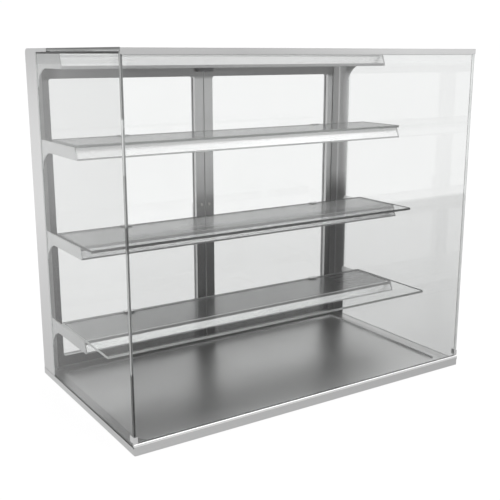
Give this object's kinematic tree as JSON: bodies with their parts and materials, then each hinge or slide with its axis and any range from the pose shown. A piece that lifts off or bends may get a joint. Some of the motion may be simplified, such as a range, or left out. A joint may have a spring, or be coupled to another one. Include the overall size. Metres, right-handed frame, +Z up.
{
  "type": "countertop bread display bin",
  "caption": "Countertop bread display bin with stepped steel and glass shelves in a glass box, and two framed glass doors at the rear",
  "frame": {"origin": "under the centre of the bin at counter level", "axes": "+X to the right seen from the front, -Y to the front, +Z up"},
  "size_m": [0.914, 0.547, 0.796],
  "materials": {
    "clear_glass": "clear polished float glass",
    "body_steel": "satin brushed stainless sheet",
    "deck_steel": "brushed stainless deck",
    "shelf_steel": "satin brushed stainless sheet",
    "trim_aluminium": "satin anodised extrusion",
    "door_aluminium": "satin anodised frame",
    "bright_steel": "polished",
    "fastener_steel": "plain zinc",
    "foot_rubber": "matt",
    "bush_plastic": "natural nylon",
    "catch_plastic": "matt",
    "bead_vinyl": "matt flexible vinyl"
  },
  "bodies": {
    "cabinet": {"base_tray": "body_steel", "deck_pan": "deck_steel", "deck_stiffeners": "body_steel", "foot_pads": "foot_rubber", "front_sill_trim": "trim_aluminium", "front_glass": "clear_glass", "left_side_glass": "clear_glass", "right_side_glass": "clear_glass", "top_glass": "clear_glass", "front_top_trim": "trim_aluminium", "corner_clips": "bright_steel", "left_post": "body_steel", "right_post": "body_steel", "lower_shelf": "shelf_steel", "middle_shelf": "shelf_steel", "upper_shelf": "shelf_steel", "top_header": "shelf_steel", "lower_left_arm": "body_steel", "middle_left_arm": "body_steel", "upper_left_arm": "body_steel", "header_left_arm": "body_steel", "lower_right_arm": "body_steel", "middle_right_arm": "body_steel", "upper_right_arm": "body_steel", "header_right_arm": "body_steel", "lower_glass_plate": "clear_glass", "middle_glass_plate": "clear_glass", "upper_glass_plate": "clear_glass", "plate_clips": "bright_steel", "top_panel": "body_steel", "rear_top_rail": "body_steel", "pivot_bushes": "bush_plastic", "magnetic_catch": "catch_plastic", "catch_screws": "fastener_steel", "rail_screws": "fastener_steel", "post_screws": "fastener_steel"},
    "left_door": {"left_door_frame": "door_aluminium", "left_door_glass": "clear_glass", "left_door_bead": "bead_vinyl", "left_door_pivots": "fastener_steel", "left_door_pull": "bright_steel", "left_pull_screws": "fastener_steel", "left_strike": "fastener_steel"},
    "right_door": {"right_door_frame": "door_aluminium", "right_door_glass": "clear_glass", "right_door_bead": "bead_vinyl", "right_door_pivots": "fastener_steel", "right_door_pull": "bright_steel", "right_pull_screws": "fastener_steel", "right_strike": "fastener_steel"}
  },
  "joints": [
    {"name": "left_door_hinge", "type": "hinge", "parent": "cabinet", "child": "left_door", "pos_m": [-0.431, 0.2442, 0.38575], "axis": [0, 0, 1], "range_deg": [0, 110]},
    {"name": "right_door_hinge", "type": "hinge", "parent": "cabinet", "child": "right_door", "pos_m": [0.431, 0.2442, 0.38575], "axis": [0, 0, -1], "range_deg": [0, 110]}
  ]
}
